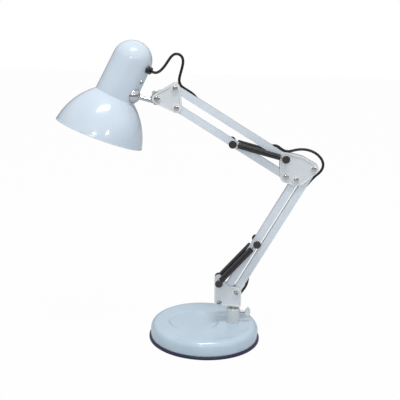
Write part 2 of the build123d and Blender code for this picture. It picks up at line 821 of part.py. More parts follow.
# Ball retainer: a sprung ring behind the ball, with a tab that one screw draws to the neck.
cup_in = ball_r + ball_gap
cup_out = cup_in + retainer_wall
tab_reach = retainer_screw_rise + 2 * retainer_head_r
retainer_plane = Plane(origin=ball, x_dir=neck_axis, z_dir=swivel_out)
with BuildPart() as ball_retainer:
    with Locations(ball):
        Sphere(cup_out)
    with BuildSketch(retainer_plane.offset(-retainer_wall)):
        Circle(2 * ball_r)
    extrude(amount=2 * ball_r, mode=Mode.SUBTRACT)
    with BuildSketch(retainer_plane.offset(-2 * ball_r)):
        Circle(2 * ball_r)
    extrude(amount=2 * ball_r - retainer_depth, mode=Mode.SUBTRACT)
    with BuildSketch(retainer_plane.offset(-retainer_step - retainer_wall)):
        Circle(retainer_flange_r)
        with Locations((tab_reach / 2, 0)):
            Rectangle(tab_reach, 4 * retainer_head_r)
    extrude(amount=retainer_wall)
    with Locations(ball):
        Sphere(cup_in, mode=Mode.SUBTRACT)
    with BuildSketch(retainer_plane.offset(-retainer_step - 2 * retainer_wall)):
        with Locations((retainer_screw_rise, 0)):
            Circle(retainer_screw_r + slack)
    extrude(amount=4 * retainer_wall, mode=Mode.SUBTRACT)
save(ball_retainer.part, "ball_retainer")

screw_drop = swivel_inset + retainer_step + 2 * retainer_wall
with BuildPart() as retainer_screw:
    with BuildSketch(Plane(origin=screw_at, z_dir=screw_aim)):
        Circle(retainer_head_r)
    extrude(amount=1.6, taper=15)
    with BuildSketch(Plane(origin=screw_at, z_dir=screw_aim)):
        Circle(retainer_screw_r)
    extrude(amount=-screw_drop)
save(retainer_screw.part, "retainer_screw")

# Cord bushing: a black block in the neck's side with a flange outside and a sleeve through the wall.
with BuildPart() as cord_bushing:
    with BuildSketch(Plane(origin=bushing_at, z_dir=bushing_aim)):
        Circle(bushing_r)
    extrude(amount=bushing_out - bushing_edge)
    with BuildSketch(Plane(origin=bushing_at, z_dir=bushing_aim).offset(bushing_out - bushing_edge)):
        Circle(bushing_r)
    extrude(amount=bushing_edge, taper=40)
    with BuildSketch(Plane(origin=bushing_at, z_dir=bushing_aim)):
        Circle(bushing_hole_r)
    extrude(amount=-4 * shade_wall)
    with BuildSketch(Plane(origin=bushing_at, z_dir=bushing_aim).offset(bushing_out)):
        Circle(cord_r + slack)
    extrude(amount=-(bushing_out + 5 * shade_wall), mode=Mode.SUBTRACT)
save(cord_bushing.part, "cord_bushing")

# Lamp holder: a moulded screw socket hung from a strap across the neck.
holder_top = neck_length + holder_rise
holder_mouth = holder_top - holder_h
holder_plane = Plane(origin=neck_base, x_dir=neck_side, z_dir=neck_axis)
with BuildPart() as lamp_holder:
    with BuildSketch(holder_plane.offset(holder_mouth)):
        Circle(holder_r)
    extrude(amount=holder_h)
    with BuildSketch(holder_plane.offset(holder_mouth)):
        Circle(holder_skirt_r)
    extrude(amount=holder_skirt)
    with BuildSketch(holder_plane.offset(holder_mouth)):
        Circle(holder_bore_r)
    extrude(amount=holder_bore, mode=Mode.SUBTRACT)
save(lamp_holder.part, "lamp_holder")

strap_r = neck_top_r - shade_wall - slack
strap_in_r = strap_r - strap_t
strap_foot = neck_length - strap_ear / 2
with BuildPart() as holder_strap:
    with BuildSketch(neck_plane):
        strap_edge = sqrt(strap_r**2 - (holder_rise + strap_t) ** 2)
        with BuildLine():
            Polyline((0, strap_foot), (strap_r, strap_foot), (strap_r, neck_length))
            RadiusArc((strap_r, neck_length), (strap_edge, holder_top + strap_t), -strap_r)
            Polyline((strap_edge, holder_top + strap_t), (0, holder_top + strap_t), (0, strap_foot))
        make_face()
    revolve(axis=Axis(neck_base, neck_axis))
    with BuildSketch(neck_plane):
        strap_bend = sqrt(strap_in_r**2 - holder_rise**2)
        with BuildLine():
            Polyline((0, strap_foot), (strap_in_r, strap_foot), (strap_in_r, neck_length))
            RadiusArc((strap_in_r, neck_length), (strap_bend, holder_top), -strap_in_r)
            Polyline((strap_bend, holder_top), (0, holder_top), (0, strap_foot))
        make_face()
    revolve(axis=Axis(neck_base, neck_axis), mode=Mode.SUBTRACT)
    with BuildSketch(holder_plane):
        Rectangle(strap_w, 3 * neck_r)
    extrude(amount=2 * holder_top, mode=Mode.INTERSECT)
save(holder_strap.part, "holder_strap")


def corner_radii(points):
    """Fillet radius at each corner of a route: as large as its two runs allow."""
    radii = []
    for before, here, after in zip(points, points[1:], points[2:]):
        back = Vector(*before) - Vector(*here)
        ahead = Vector(*after) - Vector(*here)
        turn = radians(180 - back.get_angle(ahead))
        radii.append(0.45 * min(back.length, ahead.length) / tan(turn / 2))
    return radii


def cord_run(name, points):
    """A free stretch of the lead as a tube along its route."""
    radii = corner_radii(points)
    with BuildPart() as run:
        with BuildLine() as route:
            FilletPolyline(*points, radius=radii)
        track = route.wire()
        with BuildSketch(Plane(origin=track @ 0, z_dir=track % 0)):
            Circle(cord_r)
        sweep()
    share = run.part.volume / (pi * cord_r**2 * track.length)
    print(name, "length", round(track.length, 1), "least radius", round(min(radii), 1))
    print(name, "radii", [round(radius, 1) for radius in radii], "volume share", round(share, 4))
    save(run.part, name)


# Lead at the head: out of the bushing, up in a loop and down into the top bar's open side.
bushing_end = bushing_at + bushing_aim * bushing_out
upper_along = heading(upper_lean)
upper_down = heading(upper_lean - 90)
channel_seat = bar_depth / 2 - bar_wall - cord_r - 0.3
upper_seat_head = high_head - upper_along * 58 + upper_down * channel_seat
upper_seat_elbow = high_elbow + upper_along * 46 + upper_down * channel_seat
head_points = [
    tuple(bushing_end),
    (-92.0, -2.6, 452.0),
    (-85, -1.0, 453.8),
    (-78, 1.0, 460.5),
    (-71.7, 1.5, 469.9),
    (-66.3, 2.0, 478.5),
    (-60.6, 2.0, 482.9),
    (-53.6, 2.0, 482.8),
    (-48.2, 2.0, 478.2),
    (-46.6, 2.0, 470.8),
    (-48.4, 1.5, 460.5),
    (-51.3, 1.0, 450.0),
    (-53.0, 0.5, 440.5),
    (-49.6, 0.0, 431.8),
    (-40.5, 0.0, 424.5),
    (-29.0, 0.0, 416.0),
    tuple(upper_seat_head + upper_along * 14),
    tuple(upper_seat_head),
]
cord_run("cord_head", head_points)

with BuildPart() as cord_upper:
    with BuildSketch(Plane(origin=upper_seat_head, z_dir=upper_along * -1)):
        Circle(cord_r)
    extrude(amount=(upper_seat_head - upper_seat_elbow).length)
save(cord_upper.part, "cord_upper")

# Lead at the elbow: out of the top bar, over the bracket's crown and into the outer bar's open side.
lower_along = heading(lower_lean)
lower_in = heading(lower_lean - 90)
lower_seat_top = outer_top - lower_along * 54 + lower_in * channel_seat
lower_seat_foot = outer_foot + lower_along * 56 + lower_in * channel_seat
elbow_points = [
    tuple(upper_seat_elbow),
    tuple(upper_seat_elbow - upper_along * 10),
    (100.5, 0, 336.5),
    (107.5, 0, 335.5),
    (115.5, 0, 330),
    (124, 0, 327.5),
    (133, 0, 331),
    (143.5, 0, 334.5),
    (156, 0, 335),
    (168, 0, 332),
    (178, 0, 326),
    (185.5, 0, 317),
    (187.5, 0, 307),
    (183, 0, 297.5),
    (174, 0, 290),
    (166.5, 0, 281),
    (158.5, 0, 270.5),
    tuple(lower_seat_top + lower_along * 12),
    tuple(lower_seat_top),
]
cord_run("cord_elbow", elbow_points)

with BuildPart() as cord_lower:
    with BuildSketch(Plane(origin=lower_seat_top, z_dir=lower_along * -1)):
        Circle(cord_r)
    extrude(amount=(lower_seat_top - lower_seat_foot).length)
save(cord_lower.part, "cord_lower")

# Put-away hank: two layers of loops behind the base, spiralling in below and out above.
hank_centre = Vector(hank_x, hank_y, cord_r + tie_t + 0.1)
hank_u = Vector(0, -1, 0)
hank_v = Vector(-1, 0, 0)
layer = hank_pitch


def hank_point(u, v, w):
    """Point in the hank's own frame: along it towards the base, across it, and up."""
    return hank_centre + hank_u * u + hank_v * v + Vector(0, 0, w)


half_run = hank_run / 2
hank_inner = hank_outer - hank_pitch
folds = [
    (-1, -hank_outer, hank_outer, 0),
    (1, hank_outer, -hank_inner, 0),
    (-1, -hank_inner, hank_inner, 0),
    (1, hank_inner, -hank_inner, layer),
    (-1, -hank_inner, hank_outer, layer),
]
hank_start = hank_point(half_run, -hank_outer, 0)
hank_end = hank_point(half_run, hank_outer, layer)
climb_r = (hank_run**2 + layer**2) / (4 * layer)
climb_half = asin(hank_run / (2 * climb_r)) / 2
climb_x = climb_r * sin(climb_half)
climb_z = climb_r * (1 - cos(climb_half))
with BuildPart() as cord_hank:
    with BuildLine() as windings:
        place = hank_start
        level = 0
        for end, v_in, v_out, height in folds:
            run_end = hank_point(end * half_run, v_in, height)
            if height > level:
                middle = hank_point(0, v_in, (level + height) / 2)
                ThreePointArc(place, hank_point(-end * (half_run - climb_x), v_in, level + climb_z), middle)
                ThreePointArc(middle, hank_point(end * (half_run - climb_x), v_in, height - climb_z), run_end)
            else:
                Line(place, run_end)
            fold_r = abs(v_out - v_in) / 2
            tip = hank_point(end * (half_run + fold_r), (v_in + v_out) / 2, height)
            place = hank_point(end * half_run, v_out, height)
            ThreePointArc(run_end, tip, place)
            level = height
        Line(place, hank_end)
    coil = windings.wire()
    with BuildSketch(Plane(origin=coil @ 0, z_dir=coil % 0)):
        Circle(cord_r)
    sweep()
hank_length = coil.length
steps = int(hank_length / 2)
trail = [coil @ (index / steps) for index in range(steps + 1)]
apart = int(6 * cord_r / (hank_length / steps))
least = min(
    (trail[i] - trail[j]).length for i in range(steps + 1) for j in range(i + apart, steps + 1)
)
print("cord_hank length", round(hank_length, 1), "least gap to itself", round(least - 2 * cord_r, 2))
print("cord_hank volume share", round(cord_hank.part.volume / (pi * cord_r**2 * hank_length), 4))
save(cord_hank.part, "cord_hank")

# Lead at the foot: out of the outer bar, behind the bracket and the post, over the base to the hank.
foot_points = [
    tuple(lower_seat_foot),
    tuple(lower_seat_foot - lower_along * 12),
    (72, 0.0, 115),
    (71.5, 1.5, 104.5),
    (69.5, 5.0, 93.5),
    (65, 10.5, 83.5),
    (59.5, 16.0, 73),
    (55.5, 19.5, 61.5),
    (53.5, 22.0, 50),
    (53, 27.0, 40),
    (53.5, 36.5, 33.5),
    (54.5, 49.0, 32),
    (55.5, 61.5, 31.6),
    (57.2, 72.5, 28.2),
    (59.0, 81.0, 19.5),
    (59.8, 88.5, 9.8),
    (60.0, 96.0, 4.2),
    (60.3, 107.0, 2.9),
    (60.8, 119.0, 2.7),
    (61.4, 129.0, 2.8),
    tuple(hank_start),
]
cord_run("cord_foot", foot_points)

# Tie round the hank's waist: a flat band.
tie_half_v = hank_outer + cord_r + tie_gap
tie_high = tie_t + 2 * cord_r + layer + 0.1 + tie_gap
with BuildPart() as cord_tie:
    tie_plane = Plane(origin=(hank_centre.X, hank_centre.Y, 0), x_dir=hank_v, z_dir=hank_u * -1)
    with BuildSketch(tie_plane.offset(-tie_w / 2)):
        with Locations((0, (tie_high + tie_t) / 2)):
            RectangleRounded(2 * (tie_half_v + tie_t), tie_high + tie_t, 1.6)
        with Locations((0, (tie_high + tie_t) / 2)):
            RectangleRounded(2 * tie_half_v, tie_high - tie_t, 1.0, mode=Mode.SUBTRACT)
    extrude(amount=tie_w)
save(cord_tie.part, "cord_tie")

# Last stretch of the lead, from the hank's end down to the plug.
plug_point = Vector(2.0, 105.6, plug_t / 2 + 0.2)
plug_aim = Vector(-0.99, -0.13, 0).normalized()
tail_points = [
    tuple(hank_end),
    tuple(hank_end + hank_u * 8),
    (26.0, 121.5, 4.6),
    (21.5, 113.0, 3.6),
    (13.5, 108.0, 4.2),
    tuple(plug_point - plug_aim * 4.5),
    tuple(plug_point),
]
cord_run("cord_tail", tail_points)

# Plug: a flat moulded body with a short relief and two flat blades.
plug_plane = Plane(origin=plug_point, x_dir=(-plug_aim.Y, plug_aim.X, 0), z_dir=plug_aim)
with BuildPart() as plug:
    with BuildSketch(plug_plane):
        Circle(plug_relief_r)
    with BuildSketch(plug_plane.offset(plug_relief)):
        Circle(plug_relief_r + 1.0)
    loft()
    with BuildSketch(plug_plane.offset(plug_relief)):
        RectangleRounded(plug_w, plug_t, 3.0)
    extrude(amount=plug_body)
    with BuildSketch(plug_plane.offset(plug_relief + plug_body)):
        with GridLocations(blade_spacing, 0, 2, 1):
            Rectangle(blade_t, blade_w)
    extrude(amount=blade_length)
save(plug.part, "plug")
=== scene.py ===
from math import pi, radians

import bmesh
import bpy
from mathutils import Matrix, Vector, kdtree


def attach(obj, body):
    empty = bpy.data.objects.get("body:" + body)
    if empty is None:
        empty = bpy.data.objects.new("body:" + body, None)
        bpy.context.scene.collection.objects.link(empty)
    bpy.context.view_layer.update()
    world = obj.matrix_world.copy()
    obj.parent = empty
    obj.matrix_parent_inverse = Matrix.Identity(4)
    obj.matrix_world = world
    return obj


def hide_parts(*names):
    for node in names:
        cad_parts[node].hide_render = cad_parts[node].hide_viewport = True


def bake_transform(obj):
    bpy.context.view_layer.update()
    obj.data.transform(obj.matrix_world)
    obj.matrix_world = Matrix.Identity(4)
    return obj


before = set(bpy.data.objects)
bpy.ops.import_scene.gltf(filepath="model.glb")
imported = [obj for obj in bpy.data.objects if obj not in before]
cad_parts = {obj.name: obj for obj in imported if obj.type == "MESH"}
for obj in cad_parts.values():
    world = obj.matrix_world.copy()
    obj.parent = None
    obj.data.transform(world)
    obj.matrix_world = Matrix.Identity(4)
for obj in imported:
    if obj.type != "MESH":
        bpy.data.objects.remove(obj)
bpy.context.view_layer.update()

bpy.context.scene.view_settings.view_transform = "Standard"

# Studio: a white sweep of floor that keeps a faint shadow, a white room, a long soft box overhead, a broad
# fill from the front left and two small lamps beside the camera that draw the crisp lights on the enamel.
bpy.ops.object.select_all(action="DESELECT")
bpy.ops.mesh.primitive_plane_add(size=9.0, location=(0, 0, -0.0002))
floor = bpy.context.object
floor.name = "floor"
white_sweep = bpy.data.materials.new("white_sweep")
white_sweep.use_nodes = True
nodes, links = white_sweep.node_tree.nodes, white_sweep.node_tree.links
nodes["Principled BSDF"].inputs["Base Color"].default_value = (0.68, 0.69, 0.70, 1)
nodes["Principled BSDF"].inputs["Roughness"].default_value = 0.9
rays = nodes.new("ShaderNodeLightPath")
seen = nodes.new("ShaderNodeMath")
seen.operation = "MULTIPLY"
seen.inputs[1].default_value = 0.975
glow = nodes.new("ShaderNodeEmission")
mix = nodes.new("ShaderNodeMixShader")
links.new(rays.outputs["Is Camera Ray"], seen.inputs[0])
links.new(seen.outputs[0], mix.inputs["Fac"])
links.new(nodes["Principled BSDF"].outputs[0], mix.inputs[1])
links.new(glow.outputs[0], mix.inputs[2])
links.new(mix.outputs[0], nodes["Material Output"].inputs["Surface"])
floor.data.materials.append(white_sweep)

room = bpy.data.worlds.new("white_room")
bpy.context.scene.world = room
room.use_nodes = True
nodes, links = room.node_tree.nodes, room.node_tree.links
plain = nodes["Background"]
plain.inputs["Color"].default_value = (0.95, 0.98, 1.0, 1)
plain.inputs["Strength"].default_value = 0.56
white = nodes.new("ShaderNodeBackground")
white.inputs["Color"].default_value = (1, 1, 1, 1)
mirrored = nodes.new("ShaderNodeBackground")
rays = nodes.new("ShaderNodeLightPath")
sky = nodes.new("ShaderNodeTexCoord")
height = nodes.new("ShaderNodeSeparateXYZ")
tones = nodes.new("ShaderNodeValToRGB")
tones.color_ramp.elements[0].position = 0.02
tones.color_ramp.elements[0].color = (0.16, 0.17, 0.18, 1)
tones.color_ramp.elements[1].position = 0.55
tones.color_ramp.elements[1].color = (0.9, 0.95, 1.0, 1)
shiny = nodes.new("ShaderNodeMixShader")
shown = nodes.new("ShaderNodeMixShader")
either = nodes.new("ShaderNodeMath")
either.operation = "MAXIMUM"
links.new(sky.outputs["Generated"], height.inputs[0])
links.new(height.outputs["Z"], tones.inputs["Fac"])
links.new(tones.outputs["Color"], mirrored.inputs["Color"])
links.new(rays.outputs["Is Glossy Ray"], shiny.inputs["Fac"])
links.new(plain.outputs[0], shiny.inputs[1])
links.new(mirrored.outputs[0], shiny.inputs[2])
links.new(rays.outputs["Is Camera Ray"], either.inputs[0])
links.new(rays.outputs["Is Transmission Ray"], either.inputs[1])
links.new(either.outputs[0], shown.inputs["Fac"])
links.new(shiny.outputs[0], shown.inputs[1])
links.new(white.outputs[0], shown.inputs[2])
links.new(shown.outputs[0], nodes["World Output"].inputs["Surface"])


def lamp(name, place, aim, width, height, watts, colour=(1, 1, 1)):
    """A soft box facing a point of the lamp."""
    light = bpy.data.lights.new(name, "AREA")
    light.shape = "RECTANGLE"
    light.size, light.size_y = width, height
    light.energy = watts
    light.color = colour
    box = bpy.data.objects.new(name, light)
    bpy.context.collection.objects.link(box)
    box.location = place
    box.rotation_euler = (Vector(aim) - Vector(place)).to_track_quat("-Z", "Y").to_euler()
    return box


lamp("overhead_box", (0.12, -0.50, 2.0), (-0.05, 0, 0.3), 0.74, 0.13, 14.0, (1.0, 0.99, 0.97))
front_fill = lamp("front_fill", (-0.45, -1.35, 0.95), (-0.12, 0, 0.36), 0.9, 0.7, 1.9, (0.97, 0.985, 1.0))
front_fill.visible_glossy = False
lamp("left_spark", (-0.16, -1.45, 1.06), (-0.15, 0, 0.42), 0.2, 0.11, 1.2)
lamp("right_spark", (0.63, -1.2, 0.96), (-0.15, 0, 0.42), 0.16, 0.12, 1.2)

# Camera: a long lens a little above the lamp, in the place fitted to the base's ellipse, the pivots and the
# shade's outline in the photo.
view = bpy.data.cameras.new("photo_camera")
view.lens = 72.0
view.sensor_width = 36.0
view.sensor_fit = "HORIZONTAL"
camera = bpy.data.objects.new("photo_camera", view)
bpy.context.collection.objects.link(camera)
camera.matrix_world = (
    Matrix.Translation((-0.01376, -1.28709, 0.58273))
    @ Matrix.Rotation(radians(75.27), 4, "X")
    @ Matrix.Rotation(radians(1.62), 4, "Z")
)
bpy.context.scene.camera = camera

# Base pan: a pressed steel disc with a rolled shoulder and a shallow pen dish, stoved in pale blue enamel.
# The enamel is slightly cloudy, and its gloss has a fine orange peel.


def tone(code):
    """A paint colour from its six-figure code, as light values."""
    parts = [int(code[i:i + 2], 16) / 255 for i in (0, 2, 4)]
    return [p / 12.92 if p < 0.04045 else ((p + 0.055) / 1.055) ** 2.4 for p in parts] + [1.0]


def finish(name, first, second, cloud, gloss, grain, height, metal=0.0, coat=0.0):
    """A surface of two close tones in soft clouds, with uneven gloss and a fine grain."""
    material = bpy.data.materials.new(name)
    material.use_nodes = True
    nodes, links = material.node_tree.nodes, material.node_tree.links
    shader = nodes["Principled BSDF"]
    shader.inputs["Metallic"].default_value = metal
    shader.inputs["Coat Weight"].default_value = coat
    shader.inputs["Coat Roughness"].default_value = 0.11
    place = nodes.new("ShaderNodeTexCoord")
    clouds = nodes.new("ShaderNodeTexNoise")
    clouds.inputs["Scale"].default_value = cloud
    clouds.inputs["Detail"].default_value = 5.0
    colours = nodes.new("ShaderNodeValToRGB")
    colours.name = "colours"
    colours.color_ramp.elements[0].position = 0.32
    colours.color_ramp.elements[0].color = tone(first)
    colours.color_ramp.elements[1].position = 0.68
    colours.color_ramp.elements[1].color = tone(second)
    shine = nodes.new("ShaderNodeMapRange")
    shine.inputs["From Min"].default_value = 0.3
    shine.inputs["From Max"].default_value = 0.7
    shine.inputs["To Min"].default_value = gloss[0]
    shine.inputs["To Max"].default_value = gloss[1]
    peel = nodes.new("ShaderNodeTexNoise")
    peel.inputs["Scale"].default_value = grain
    peel.inputs["Detail"].default_value = 3.0
    relief = nodes.new("ShaderNodeBump")
    relief.inputs["Strength"].default_value = 0.5
    relief.inputs["Distance"].default_value = height
    links.new(place.outputs["Object"], clouds.inputs["Vector"])
    links.new(place.outputs["Object"], peel.inputs["Vector"])
    links.new(clouds.outputs["Fac"], colours.inputs["Fac"])
    links.new(clouds.outputs["Fac"], shine.inputs["Value"])
    links.new(peel.outputs["Fac"], relief.inputs["Height"])
    links.new(colours.outputs["Color"], shader.inputs["Base Color"])
    links.new(shine.outputs["Result"], shader.inputs["Roughness"])
    links.new(relief.outputs["Normal"], shader.inputs["Normal"])
    return material


def dress(material, *names):
    """Puts a finish on pieces that keep their solid."""
    for name in names:
        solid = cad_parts[name]
        solid.data.materials.clear()
        solid.data.materials.append(material)


base_enamel = finish("base_enamel", "BED0DF", "C5D6E4", 26, (0.17, 0.24), 200, 0.000004, coat=0.6)
dress(base_enamel, "base_pan")


def soften(width, *names, angle=40, segments=2):
    """Rounds the edges of pieces that keep their solid."""
    for name in names:
        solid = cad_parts[name]
        weld = solid.modifiers.new("weld", "WELD")
        weld.merge_threshold = 0.00001
        edge = solid.modifiers.new("edge", "BEVEL")
        edge.width = width
        edge.segments = segments
        edge.limit_method = "ANGLE"
        edge.angle_limit = radians(angle)
        edge.harden_normals = True


soften(0.004, "base_pan", angle=15, segments=4)

# Weight, cover plate and edge: a cast iron disc under the pan, a black fibre plate held by three screws,
# and a black rubber ring pressed over the pan's lip that stands on the desk.
cast_iron = finish("cast_iron", "2E2F31", "45474A", 120, (0.6, 0.85), 900, 0.0004, metal=0.4)
dress(cast_iron, "base_weight")
fibre_plate = finish("fibre_plate", "1B1C1E", "26272A", 300, (0.55, 0.7), 2600, 0.00008)
dress(fibre_plate, "bottom_plate")
edge_rubber = finish("edge_rubber", "121130", "1A183C", 90, (0.3, 0.45), 1800, 0.00005)
edge_rubber.node_tree.nodes["Principled BSDF"].inputs["Sheen Weight"].default_value = 0.25
edge_rubber.node_tree.nodes["Principled BSDF"].inputs["Sheen Tint"].default_value = tone("8E90C8")
dress(edge_rubber, "edge_ring")
zinc = finish("zinc_plate", "9C9FA1", "B9BBBB", 200, (0.28, 0.45), 1500, 0.00005, metal=1.0)
dress(zinc, "plate_screws")

# Post: a turned and painted steel socket bolted through the pan, which the foot bracket's pin turns in.
# A thumb screw with a moulded two-wing head locks it.
stove_white = finish("stove_white", "CED3D4", "D8DCDC", 60, (0.3, 0.42), 420, 0.000012, coat=0.15)
dress(stove_white, "post")
dress(zinc, "post_nut", "thumb_screw")
white_moulding = finish("white_moulding", "D3D8DA", "DEE2E3", 80, (0.24, 0.36), 500, 0.00001)
dress(white_moulding, "thumb_knob")
soften(0.0006, "thumb_knob")

# Foot bracket: two pressed halves with a raised rim and bosses, painted off-white, on a steel swivel pin.
# Steel bolts with slotted heads go through both halves and the bars, into plain nuts at the back.
bracket_paint_recess_shade = finish("bracket_paint_recess_shade", "E5E8E8", "EBEDEB", 60, (0.3, 0.42), 420, 0.000012, coat=0.15)
# The panel inside the rim is painted a greyer tone than the rim and bosses: painted shade in the recess, which
# blends to the plain paint between the panel's depth and the rim's.
nodes, links = bracket_paint_recess_shade.node_tree.nodes, bracket_paint_recess_shade.node_tree.links
place = nodes.new("ShaderNodeTexCoord")
across = nodes.new("ShaderNodeSeparateXYZ")
depth = nodes.new("ShaderNodeMath")
depth.operation = "ABSOLUTE"
panel_y, rim_y = 0.0067, 0.0075
shade_to_rim = nodes.new("ShaderNodeMapRange")
shade_to_rim.inputs["From Min"].default_value = panel_y
shade_to_rim.inputs["From Max"].default_value = rim_y
recess_shade = nodes.new("ShaderNodeMix")
recess_shade.data_type = "RGBA"
recess_shade.inputs["A"].default_value = tone("DCE1E5")
links.new(place.outputs["Object"], across.inputs[0])
links.new(across.outputs["Y"], depth.inputs[0])
links.new(depth.outputs[0], shade_to_rim.inputs["Value"])
links.new(shade_to_rim.outputs["Result"], recess_shade.inputs["Factor"])
links.new(nodes["colours"].outputs["Color"], recess_shade.inputs["B"])
links.new(recess_shade.outputs["Result"], nodes["Principled BSDF"].inputs["Base Color"])
dress(bracket_paint_recess_shade, "turret_front", "turret_back")
soften(0.0004, "turret_front", "turret_back")
dress(zinc, "turret_pin", "turret_nuts", "anchor_studs")
bolt_steel = finish("bolt_steel", "C2C4C7", "D6D7D9", 300, (0.14, 0.26), 2200, 0.00002, metal=1.0)


def pick(piece, wanted):
    """Selects the faces of a piece, in edit mode, that pass a test."""
    cage = bmesh.from_edit_mesh(piece.data)
    for face in cage.faces:
        face.select = wanted(face)
    cage.select_flush_mode()
    bmesh.update_edit_mesh(piece.data)


def swell(lift, scale):
    """Pulls the picked faces out along the bolt and scales the new ring."""
    bpy.ops.mesh.extrude_region_move(TRANSFORM_OT_translate={"value": (0, 0, lift)})
    bpy.ops.transform.resize(value=(scale, scale, 1))


def slotted_bolts(name, body, node, spots, turns, head_r, head_h, shank_r, shank):
    """Pan-head bolts: a shank pulled out into a domed head, with a sawn slot."""
    bracket_face = -0.0078
    made = []
    for (x, z), turn in zip(spots, turns):
        bpy.ops.object.select_all(action="DESELECT")
        bpy.ops.mesh.primitive_cylinder_add(vertices=32, radius=shank_r, depth=shank,
                                            location=(0, 0, -shank / 2))
        bolt = bpy.context.object
        bpy.ops.object.mode_set(mode="EDIT")
        pick(bolt, lambda face: face.normal.z > 0.9)
        swell(0, head_r / shank_r)
        swell(0.55 * head_h, 0.99)
        swell(0.22 * head_h, 0.93)
        swell(0.15 * head_h, 0.8)
        swell(0.08 * head_h, 0.5)
        pick(bolt, lambda face: face.normal.z < -0.9 and face.calc_center_median().z < -shank / 4)
        swell(-0.0005, 0.8)
        bpy.ops.object.mode_set(mode="OBJECT")
        bpy.ops.object.select_all(action="DESELECT")
        bpy.ops.mesh.primitive_cube_add(size=1, location=(0, 0, head_h))
        saw = bpy.context.object
        saw.scale = (4 * head_r, 0.26 * head_r, 0.9 * head_h)
        cut = bolt.modifiers.new("slot", "BOOLEAN")
        cut.object = saw
        cut.operation = "DIFFERENCE"
        bpy.ops.object.select_all(action="DESELECT")
        bolt.select_set(True)
        bpy.context.view_layer.objects.active = bolt
        bpy.ops.object.modifier_apply(modifier="slot")
        bpy.data.objects.remove(saw)
        bpy.ops.object.shade_smooth_by_angle(angle=radians(32))
        bolt.matrix_world = (
            Matrix.Translation((x / 1000, bracket_face, z / 1000))
            @ Matrix.Rotation(pi / 2, 4, "X")
            @ Matrix.Rotation(radians(turn), 4, "Z")
            @ bolt.matrix_world
        )
        bpy.ops.object.transform_apply(location=True, rotation=True, scale=True)
        made.append(bolt)
    for bolt in made:
        bolt.select_set(True)
    bpy.context.view_layer.objects.active = made[0]
    if len(made) > 1:
        bpy.ops.object.join()
    whole = made[0]
    whole.name = name
    whole.data.materials.clear()
    whole.data.materials.append(bolt_steel)
    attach(whole, body)
    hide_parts(node)


bar_bolt = {"head_r": 0.0045, "head_h": 0.0026, "shank_r": 0.0025, "shank": 0.0196}
slotted_bolts("foot_bolts", "turret", "turret_bolts", [(24, 66.25), (52, 84.95)], [25, 140], **bar_bolt)

# Caps: round black mouldings that close the ends of the spring anchors and pins. They are a little paler than
# the black of the sleeves.
black_moulding = finish("black_moulding", "171112", "1F1818", 150, (0.16, 0.26), 1600, 0.00002, coat=0.3)
cap_moulding = finish("cap_moulding", "292122", "332A2B", 150, (0.2, 0.3), 1600, 0.00002, coat=0.3)
dress(cap_moulding, "anchor_caps", "lower_spring_caps", "elbow_caps", "upper_spring_caps")

# Lower arm: two pressed steel channels in pale enamel, the outer one carrying the lead in its open side.
# They turn on the bolts of the foot bracket and of the elbow, and stay parallel.
bar_enamel = finish("bar_enamel", "DAE2EB", "E1E8EF", 40, (0.3, 0.4), 320, 0.00001, coat=0.25)
dress(bar_enamel, "lower_bar_outer", "lower_bar_inner")
dress(zinc, "lower_spring_pin")
dress(black_moulding, "lower_sleeves")

# Balance springs: close-wound coils of drawn wire inside the black sleeves, with wire hooks on the pins.
# The lower ones have their own eyes on the anchor studs; separate hooks draw the other ends.
drawn_wire = finish("drawn_wire", "6E7073", "8A8C8E", 400, (0.25, 0.4), 2500, 0.00003, metal=1.0)
dress(drawn_wire, "lower_spring_hooks", "upper_near_hooks", "upper_far_hooks")


